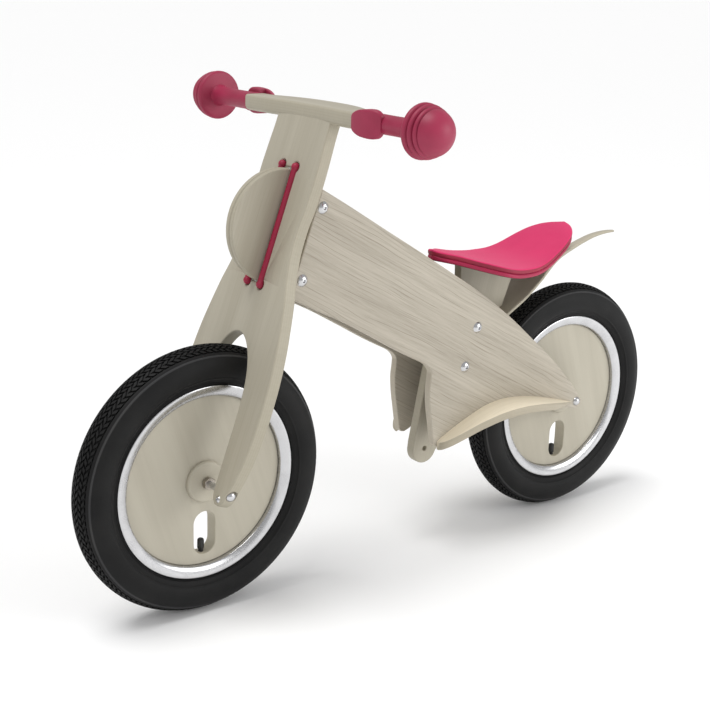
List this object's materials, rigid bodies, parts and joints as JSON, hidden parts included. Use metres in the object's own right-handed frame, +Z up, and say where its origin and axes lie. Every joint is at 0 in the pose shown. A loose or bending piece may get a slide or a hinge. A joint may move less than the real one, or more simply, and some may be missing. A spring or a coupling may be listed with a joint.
{
  "type": "balance bike",
  "caption": "Child's wooden balance bike: solid wheels on air tyres, a plank fork that steers on a pin, twin side panels, a padded saddle and footrests.",
  "frame": {"origin": "on the floor, midway between the two axles on the bike's centre plane", "axes": "+X forward towards the front wheel, +Y to the rider's left, +Z up"},
  "size_m": [0.8615, 0.4432, 0.5741],
  "materials": {
    "panel_wood": "whitewashed plywood, thin matt stain",
    "plywood": "satin lacquered birch plywood",
    "seat_padding": "matt crimson cover",
    "seat_shell": "satin crimson",
    "grips": "satin crimson rubber",
    "cords": "dark crimson rubber",
    "tyres": "matt black rubber",
    "tubes": "thin black butyl rubber",
    "valves": "black rubber over brass",
    "rims": "polished aluminium",
    "bearings": "ground bearing steel",
    "bolts": "bright chrome plate",
    "screws": "zinc plated steel",
    "axle_steel": "bright drawn steel",
    "washers": "white nylon"
  },
  "bodies": {
    "frame": {"side_panel_left": "panel_wood", "side_panel_right": "panel_wood", "steering_disc_left": "plywood", "steering_disc_right": "plywood", "head_spacers": "plywood", "head_bolts": "bolts", "head_nuts": "bolts", "seat_plate": "plywood", "frame_spacers": "plywood", "frame_bolts": "bolts", "frame_nuts": "bolts", "seat_base": "seat_shell", "seat_pad": "seat_padding", "seat_block": "plywood", "seat_screws": "screws", "mudguard": "plywood", "mudguard_block": "plywood", "mudguard_screws": "screws", "footrest_left": "plywood", "footrest_right": "plywood", "footrest_screws": "screws", "rear_axle": "axle_steel", "rear_axle_caps": "bolts", "rear_axle_spacers": "axle_steel"},
    "fork": {"fork_plank": "plywood", "handlebar_board": "plywood", "handlebar_screws": "screws", "grip_left": "grips", "grip_right": "grips", "steering_pin": "axle_steel", "steering_washers": "washers", "buffer_cords": "cords", "front_axle": "axle_steel", "front_axle_caps": "bolts", "front_hub_nuts": "axle_steel", "fork_tip_screws": "bolts"},
    "front_wheel": {"front_tyre": "tyres", "front_tube": "tubes", "front_rim": "rims", "front_disc": "plywood", "front_bosses": "plywood", "front_bearings": "bearings", "front_hub_sleeve": "axle_steel", "front_valve": "valves"},
    "rear_wheel": {"rear_tyre": "tyres", "rear_tube": "tubes", "rear_rim": "rims", "rear_disc": "plywood", "rear_bosses": "plywood", "rear_bearings": "bearings", "rear_hub_sleeve": "axle_steel", "rear_valve": "valves"}
  },
  "joints": [
    {"name": "steering", "type": "hinge", "parent": "frame", "child": "fork", "pos_m": [0.18035, 0, 0.42758], "axis": [-0.3355, 0, 0.9421], "range_deg": [-10, 10]},
    {"name": "front_spin", "type": "hinge", "parent": "fork", "child": "front_wheel", "pos_m": [0.2783, 0, 0.1525], "axis": [0, 1, 0], "continuous": true},
    {"name": "rear_spin", "type": "hinge", "parent": "frame", "child": "rear_wheel", "pos_m": [-0.2783, 0, 0.1525], "axis": [0, 1, 0], "continuous": true}
  ]
}
